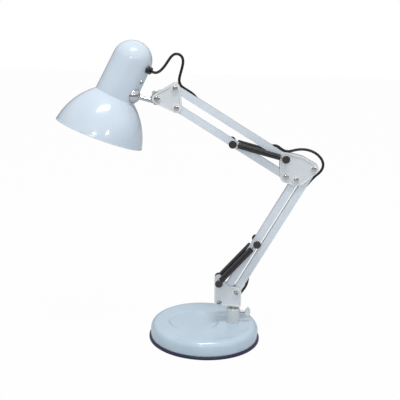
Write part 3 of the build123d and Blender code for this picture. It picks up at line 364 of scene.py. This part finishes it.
def springs(name, body, node, pin, far, start, length, eye):
    """Two coils, one each side of the arm, wound by screwing a wire section along its axis."""
    aim = (Vector((far[0], 0, far[1])) - Vector((pin[0], 0, pin[1]))).normalized()
    turn = aim.to_track_quat("Z", "Y").to_matrix().to_4x4()
    wire_r, coil_r, eye_r, off_middle = 0.00078, 0.0026, 0.00365, 0.01315
    pitch, shank_foot = 1.65, 0.0036
    made = []
    for side in (-1, 1):
        at = Matrix.Translation((pin[0] / 1000, side * off_middle, pin[1] / 1000))
        bpy.ops.object.select_all(action="DESELECT")
        bpy.ops.mesh.primitive_circle_add(vertices=8, radius=wire_r, location=(coil_r, 0, start / 1000),
                                          rotation=(pi / 2, 0, 0))
        coil = bpy.context.object
        bpy.ops.object.transform_apply(location=True, rotation=True, scale=True)
        wind = coil.modifiers.new("wind", "SCREW")
        wind.iterations = int(length / pitch)
        wind.screw_offset = length / 1000 / wind.iterations
        wind.steps = wind.render_steps = 14
        wind.use_normal_calculate = True
        bpy.ops.object.modifier_apply(modifier="wind")
        bpy.ops.object.mode_set(mode="EDIT")
        bpy.ops.mesh.select_all(action="DESELECT")
        bpy.ops.mesh.select_mode(type="EDGE")
        bpy.ops.mesh.select_non_manifold()
        bpy.ops.mesh.edge_face_add()
        bpy.ops.mesh.select_mode(type="FACE")
        bpy.ops.mesh.select_all(action="SELECT")
        bpy.ops.mesh.normals_make_consistent(inside=False)
        bpy.ops.object.mode_set(mode="OBJECT")
        bpy.ops.object.shade_smooth_by_angle(angle=radians(50))
        coil.matrix_world = at @ turn
        bpy.ops.object.transform_apply(location=True, rotation=True, scale=True)
        made.append(coil)
        if eye:
            bpy.ops.object.select_all(action="DESELECT")
            bpy.ops.mesh.primitive_torus_add(major_radius=eye_r, minor_radius=wire_r, major_segments=28,
                                             minor_segments=8, rotation=(pi / 2, 0, 0))
            ring = bpy.context.object
            bpy.ops.object.transform_apply(location=True, rotation=True, scale=True)
            ring.matrix_world = at
            bpy.ops.object.transform_apply(location=True, rotation=True, scale=True)
            bpy.ops.object.shade_smooth()
            reach = (start + 1.0) / 1000 - shank_foot
            bpy.ops.object.select_all(action="DESELECT")
            bpy.ops.mesh.primitive_cylinder_add(vertices=10, radius=wire_r, depth=reach,
                                                location=(0, 0, shank_foot + reach / 2))
            shank = bpy.context.object
            bpy.ops.object.transform_apply(location=True, rotation=True, scale=True)
            bpy.ops.object.mode_set(mode="EDIT")
            pick(shank, lambda face: face.normal.z > 0.9)
            bpy.ops.mesh.extrude_region_move(TRANSFORM_OT_translate={"value": (coil_r, 0, 0.0005)})
            bpy.ops.object.mode_set(mode="OBJECT")
            bpy.ops.object.shade_smooth_by_angle(angle=radians(50))
            shank.matrix_world = at @ turn
            bpy.ops.object.transform_apply(location=True, rotation=True, scale=True)
            made += [ring, shank]
    bpy.ops.object.select_all(action="DESELECT")
    for part in made:
        part.select_set(True)
    bpy.context.view_layer.objects.active = made[0]
    bpy.ops.object.join()
    whole = made[0]
    whole.name = name
    whole.data.materials.clear()
    whole.data.materials.append(drawn_wire)
    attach(whole, body)
    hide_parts(node)


springs("lower_coils", "lower_sleeve_unit", "lower_springs", pin=(22.1, 104), far=(83.22, 174.86),
        start=7.6, length=48, eye=True)
springs("upper_coils", "upper_sleeve_unit", "upper_springs", pin=(123.64, 320.77), far=(36.27, 342.93),
        start=27.07, length=36, eye=False)

# Elbow: a three-cornered bracket like the foot's. Its cross pin is the top bar's pivot and holds the
# upper springs.
dress(bracket_paint_recess_shade, "elbow_front", "elbow_back")
soften(0.0004, "elbow_front", "elbow_back")
dress(zinc, "elbow_nuts", "elbow_pin")
elbow_spots = [(126.29, 289.27), (143.19, 284.87), (171.19, 303.57)]
slotted_bolts("elbow_slot_bolts", "elbow", "elbow_bolts", elbow_spots, [70, 10, 115], **bar_bolt)

# Upper arm: a second pair of channels in the same pale enamel, with the sleeved springs beside them. The
# top one carries the lead.
dress(bar_enamel, "upper_bar_top", "upper_bar_bottom")
dress(zinc, "upper_spring_pin")
dress(black_moulding, "upper_sleeves")

# Head bracket: two halves clamped by the tilt bolt, whose lobed white knob is at the back. A chromed rod
# with a flat eye leaves it, and its ball sits in the shade's neck.
dress(bracket_paint_recess_shade, "head_front", "head_back")
soften(0.0004, "head_front", "head_back")
dress(zinc, "head_nuts")
head_spots = [(-58.46, 429.32), (-55.81, 397.82)]
slotted_bolts("head_slot_bolts", "head", "head_bolts", head_spots, [40, 165], **bar_bolt)
slotted_bolts("tilt_slot_bolt", "head", "tilt_bolt", [(-87.41, 411.62)], [75],
              head_r=0.0052, head_h=0.0028, shank_r=0.003, shank=0.0223)
dress(white_moulding, "tilt_knob")
soften(0.0008, "tilt_knob")
chrome = finish("chrome", "C9CACC", "D6D7D8", 90, (0.03, 0.07), 2200, 0.000004, metal=1.0)
dress(chrome, "stem", "swivel_ball")

# Shade: spun from one steel disc, neck and bell in one, with a rolled bead at the rim and vents in the dome.
# Pale blue enamel outside, white inside.
shade_enamel = finish("shade_enamel", "CCD9E6", "D1DDE9", 22, (0.17, 0.22), 160, 0.000003, coat=0.8)
nodes, links = shade_enamel.node_tree.nodes, shade_enamel.node_tree.links
place = nodes.new("ShaderNodeTexCoord")
bell_middle = (-0.1699, 0.0104, 0.3836)
from_middle = nodes.new("ShaderNodeVectorMath")
from_middle.operation = "SUBTRACT"
from_middle.inputs[1].default_value = bell_middle
facing = nodes.new("ShaderNodeVectorMath")
facing.operation = "DOT_PRODUCT"
inside = nodes.new("ShaderNodeMath")
inside.operation = "LESS_THAN"
inside.inputs[1].default_value = 0.0
lining = nodes.new("ShaderNodeMix")
lining.data_type = "RGBA"
lining.inputs["B"].default_value = tone("E9EBEA")
links.new(place.outputs["Object"], from_middle.inputs[0])
links.new(from_middle.outputs["Vector"], facing.inputs[0])
links.new(place.outputs["Normal"], facing.inputs[1])
links.new(facing.outputs["Value"], inside.inputs[0])
links.new(inside.outputs[0], lining.inputs["Factor"])
links.new(nodes["colours"].outputs["Color"], lining.inputs["A"])
links.new(lining.outputs["Result"], nodes["Principled BSDF"].inputs["Base Color"])
dress(shade_enamel, "shade")
dress(zinc, "ball_retainer", "retainer_screw", "holder_strap")
dress(black_moulding, "cord_bushing")
porcelain = finish("porcelain", "E4E2DA", "EDEBE4", 60, (0.18, 0.28), 500, 0.00005, coat=0.3)
dress(porcelain, "lamp_holder")

# Screw shell: a thin brass thread rolled from strip, in the lamp holder's bore, with a spring contact at its
# floor. The bulb's cap screws into it.
brass = finish("brass", "B3924E", "CDAE66", 160, (0.22, 0.36), 1500, 0.00004, metal=1.0)
bpy.ops.object.select_all(action="DESELECT")
bpy.ops.mesh.primitive_circle_add(vertices=10, radius=0.0007, location=(0.0124, 0, 0.0035),
                                  rotation=(pi / 2, 0, 0))
thread = bpy.context.object
bpy.ops.object.transform_apply(location=True, rotation=True, scale=True)
roll = thread.modifiers.new("roll", "SCREW")
roll.iterations = 6
roll.screw_offset = 0.0036
roll.steps = roll.render_steps = 40
bpy.ops.object.modifier_apply(modifier="roll")
bpy.ops.object.select_all(action="DESELECT")
bpy.ops.mesh.primitive_cylinder_add(vertices=48, radius=0.0131, depth=0.026, end_fill_type="NOTHING",
                                    location=(0, 0, 0.0155))
shell = bpy.context.object
bpy.ops.object.transform_apply(location=True, rotation=True, scale=True)
wall = shell.modifiers.new("wall", "SOLIDIFY")
wall.thickness = 0.0004
wall.offset = -1.0
bpy.ops.object.modifier_apply(modifier="wall")
bpy.ops.object.select_all(action="DESELECT")
bpy.ops.mesh.primitive_cylinder_add(vertices=32, radius=0.006, depth=0.0012, location=(0, 0, 0.0288))
contact = bpy.context.object
bpy.ops.object.mode_set(mode="EDIT")
pick(contact, lambda face: face.normal.z < -0.9)
swell(-0.0012, 0.55)
bpy.ops.object.mode_set(mode="OBJECT")
for part in (thread, shell, contact):
    part.select_set(True)
bpy.context.view_layer.objects.active = shell
bpy.ops.object.join()
shell.name = "screw_shell"
bpy.ops.object.shade_smooth_by_angle(angle=radians(40))
shade_axis, holder_mouth = Vector((0.42262, 0.08529, 0.90229)), (-0.14396, 0.01567, 0.43894)
lean = shade_axis.to_track_quat("Z", "Y").to_matrix().to_4x4()
shell.matrix_world = Matrix.Translation(holder_mouth) @ lean
bpy.ops.object.transform_apply(location=True, rotation=True, scale=True)
shell.data.materials.clear()
shell.data.materials.append(brass)
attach(shell, "shade")

# Lead: flat black two-core flex from the bushing over the head, in the upper bar, round the elbow, in the
# lower bar and behind the foot bracket to a tied hank. The loops are cut into stretches at the joints that
# they pass.
flex_jacket = finish("flex_jacket", "151010", "1C1615", 220, (0.22, 0.34), 1400, 0.00004)
bpy.ops.curve.primitive_bezier_circle_add(radius=0.001)
section = bpy.context.object
section.name = "flex_section"
section.data.dimensions = "2D"
section.data.splines.clear()
outline = section.data.splines.new("NURBS")
half_shape = [(0, 0.95), (0.55, 1.5), (1.5, 1.5), (2.3, 0.75), (2.3, -0.75), (1.5, -1.5), (0.55, -1.5)]
corners = half_shape + [(-x, -y) for x, y in half_shape]
outline.points.add(len(corners) - 1)
unit = 0.00095
for corner, (x, y) in zip(outline.points, corners):
    corner.co = (x * unit, y * unit, 0, 1)
outline.order_u = 3
outline.use_cyclic_u = True
outline.resolution_u = 2
section.data.resolution_u = 2


def flex(name, route):
    """A run of flex along a smooth line with the route's points as its control points."""
    data = bpy.data.curves.new(name, "CURVE")
    data.dimensions = "3D"
    line = data.splines.new("NURBS")
    line.points.add(len(route) - 1)
    for point, (x, y, z) in zip(line.points, route):
        point.co = (x / 1000, y / 1000, z / 1000, 1)
        point.tilt = pi / 2
    line.order_u = 3
    line.use_endpoint_u = True
    line.resolution_u = data.resolution_u = 6
    run = bpy.data.objects.new(name, data)
    bpy.context.collection.objects.link(run)
    bpy.context.view_layer.update()
    bare = bpy.data.meshes.new_from_object(run)
    middle = [vertex.co.copy() for vertex in bare.vertices]
    bpy.data.meshes.remove(bare)
    data.bevel_mode = "OBJECT"
    data.bevel_object = section
    data.use_fill_caps = True
    bpy.ops.object.select_all(action="DESELECT")
    run.select_set(True)
    bpy.context.view_layer.objects.active = run
    bpy.ops.object.convert(target="MESH")
    run = bpy.context.object
    bpy.ops.object.shade_smooth_by_angle(angle=radians(60))
    run.data.materials.clear()
    run.data.materials.append(flex_jacket)
    return run, middle


def nearest(middle, place):
    """Index of the point of a run that is nearest to a place in millimetres."""
    spot = Vector(place) / 1000
    return min(range(len(middle)), key=lambda index: (middle[index] - spot).length)


def stretch(run, middle, name, first, last, nodes):
    """One stretch of a run, from one place along it to another, shown in place of the cord nodes that it
    hides.
    """
    begin, stop = nearest(middle, first), nearest(middle, last)
    tree = kdtree.KDTree(len(middle))
    for index, point in enumerate(middle):
        tree.insert(point, index)
    tree.balance()
    piece = run.copy()
    piece.data = run.data.copy()
    piece.name = name
    bpy.context.collection.objects.link(piece)
    cage = bmesh.new()
    cage.from_mesh(piece.data)
    spare = [v for v in cage.verts if not begin <= tree.find(v.co)[1] <= stop]
    bmesh.ops.delete(cage, geom=spare, context="VERTS")
    cage.to_mesh(piece.data)
    cage.free()
    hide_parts(*nodes)
    return piece


def between(piece):
    """Bakes a stretch's placement into its mesh, without tying it to a body."""
    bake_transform(piece)


bushing_hole, plug_end = (-97.8, 0.32, 454.46), (2, 105.6, 5.7)
upper_bar_start, upper_bar_end = (-9.86, 0, 397.56), (82.9, 0, 342.26)
lower_bar_start, lower_bar_end = (143.24, 0, 257.31), (76.7, 0, 135.27)
elbow_top, foot_side, over_base = (152, 0, 335), (67, 8, 88), (54, 43, 32.6)

head_route = [
    bushing_hole, (-92, -2.6, 452), (-85, -1, 453.8), (-78, 1, 460.5), (-71.7, 1.5, 469.9),
    (-66.3, 2, 478.5), (-60.6, 2, 482.9), (-53.6, 2, 482.8), (-48.2, 2, 478.2), (-46.6, 2, 470.8),
    (-48.4, 1.5, 460.5), (-51.3, 1, 450), (-53, 0.5, 440.5), (-50, 0, 432.8), (-42, 0, 427.6),
    (-33.5, 0, 422.8), (-26.5, 0, 417.6), (-19.5, 0, 406), upper_bar_start,
]
run, middle = flex("lead_over_head", head_route)
spots = [bushing_hole, (-73.5, 1.4, 467.2), (-50.3, 2, 480), (-43.2, 0, 428.3), upper_bar_start]
names = ["lead_at_shade", "lead_at_stem", "lead_at_tilt", "lead_at_head"]
for index, name in enumerate(names):
    piece = stretch(run, middle, name, spots[index], spots[index + 1], ["cord_head"])
    between(piece)
bpy.data.objects.remove(run)

run, middle = flex("lead_in_upper_bar", [upper_bar_start, (36.5, 0, 369.91), upper_bar_end])
piece = stretch(run, middle, "lead_upper", upper_bar_start, upper_bar_end, ["cord_upper"])
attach(piece, "upper_top")
bpy.data.objects.remove(run)

elbow_route = [
    upper_bar_end, (91.49, 0, 337.14), (99, 0, 338.6), (105.5, 0, 340.4), (111.5, 0, 338.6), (117.5, 0, 333.8),
    (125, 0, 330.4), (133.5, 0, 331.6), (143.5, 0, 334.5), (156, 0, 335), (168, 0, 332), (178, 0, 326),
    (185.5, 0, 317), (187.5, 0, 307), (183, 0, 297.5), (174, 0, 290), (166.5, 0, 281), (158.5, 0, 270.5),
    (148.98, 0, 267.84), lower_bar_start,
]
run, middle = flex("lead_round_elbow", elbow_route)
piece = stretch(run, middle, "lead_elbow_top", upper_bar_end, elbow_top, ["cord_elbow"])
between(piece)
piece = stretch(run, middle, "lead_elbow_low", elbow_top, lower_bar_start, ["cord_elbow"])
between(piece)
bpy.data.objects.remove(run)

run, middle = flex("lead_in_lower_bar", [lower_bar_start, (110, 0, 196.3), lower_bar_end])
piece = stretch(run, middle, "lead_lower", lower_bar_start, lower_bar_end, ["cord_lower"])
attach(piece, "lower_outer")
bpy.data.objects.remove(run)

foot_route = [
    lower_bar_end, (70.96, 0, 124.73), (72, 0, 115), (71.5, 1.5, 104.5), (69.5, 5, 93.5), (65, 10.5, 83.5),
    (59.5, 16, 73), (55.5, 19.5, 61.5), (53.5, 22, 50), (53, 27, 40), (53.5, 36.5, 33.5), (54.5, 49, 32),
    (55.5, 61.5, 31.6), (57.2, 72.5, 28.2), (59, 81, 19.5), (59.8, 88.5, 9.8), (60, 96, 4.2),
    (60.3, 107, 2.9), (60.8, 119, 2.7), (61.4, 129, 2.8), (61.4, 138.5, 2.8),
]
# The hank's runs and folds, two layers deep, from its outer loop in to the middle and out again above.
hank_folds = [
    (-1, -17.4, 17.4, 0), (1, 17.4, -12.6, 0), (-1, -12.6, 12.6, 0), (1, 12.6, -12.6, 4.8),
    (-1, -12.6, 17.4, 4.8),
]
hank_x, hank_y, on_desk = 44, 170, 2.8
half_run, half_fold = 27, 31.5
level = 0
for end, v_in, v_out, lift in hank_folds:
    bulge = abs(v_out - v_in) / 2
    near_fold, far_fold = half_fold + 0.55 * bulge, half_fold + 0.98 * bulge
    climb = 0.5 * (level + lift)
    for u, v, w in [
        (-10, v_in, climb), (10, v_in, climb), (half_run, v_in, lift), (near_fold, v_in, lift),
        (far_fold, v_in * 0.62 + v_out * 0.38, lift), (far_fold, v_in * 0.38 + v_out * 0.62, lift),
        (near_fold, v_out, lift), (half_run, v_out, lift),
    ]:
        foot_route.append((hank_x - v, hank_y - end * u, on_desk + w))
    level = lift
foot_route += [
    (26.6, 180, 7.6), (26.6, 150, 7.6), (26.6, 138.5, 7.6), (26.6, 130.5, 7.6), (26, 121.5, 4.6),
    (21.5, 113, 3.6), (13.5, 108, 4.2), (6.46, 106.19, 5.7), plug_end,
]
run, middle = flex("lead_at_foot", foot_route)
piece = stretch(run, middle, "lead_foot_top", lower_bar_end, foot_side, ["cord_foot"])
between(piece)
piece = stretch(run, middle, "lead_foot_swivel", foot_side, over_base, ["cord_foot"])
between(piece)
hank = stretch(run, middle, "lead_hank", over_base, plug_end,
               ["cord_foot", "cord_hank", "cord_tail"])
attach(hank, "base")
bpy.data.objects.remove(run)
bpy.data.objects.remove(section)
dress(black_moulding, "cord_tie")

# Plug: a flat black moulding with a short relief for the flex and two brass blades. It is one solid, so
# the finish turns to brass beyond the moulding's face.
plug_moulding = finish("plug_moulding", "1F1B1A", "2A2523", 150, (0.3, 0.42), 1500, 0.00004)
nodes, links = plug_moulding.node_tree.nodes, plug_moulding.node_tree.links
place = nodes.new("ShaderNodeTexCoord")
plug_axis, moulding_face = (-0.99149, -0.1302, 0), 0.01635
along = nodes.new("ShaderNodeVectorMath")
along.operation = "DOT_PRODUCT"
along.inputs[1].default_value = plug_axis
blade = nodes.new("ShaderNodeMath")
blade.operation = "GREATER_THAN"
blade.inputs[1].default_value = moulding_face
metal = nodes.new("ShaderNodeMix")
metal.data_type = "RGBA"
metal.inputs["B"].default_value = tone("C6A65E")
links.new(place.outputs["Object"], along.inputs[0])
links.new(along.outputs["Value"], blade.inputs[0])
links.new(blade.outputs[0], metal.inputs["Factor"])
links.new(blade.outputs[0], nodes["Principled BSDF"].inputs["Metallic"])
links.new(nodes["colours"].outputs["Color"], metal.inputs["A"])
links.new(metal.outputs["Result"], nodes["Principled BSDF"].inputs["Base Color"])
dress(plug_moulding, "plug")
soften(0.0006, "plug")
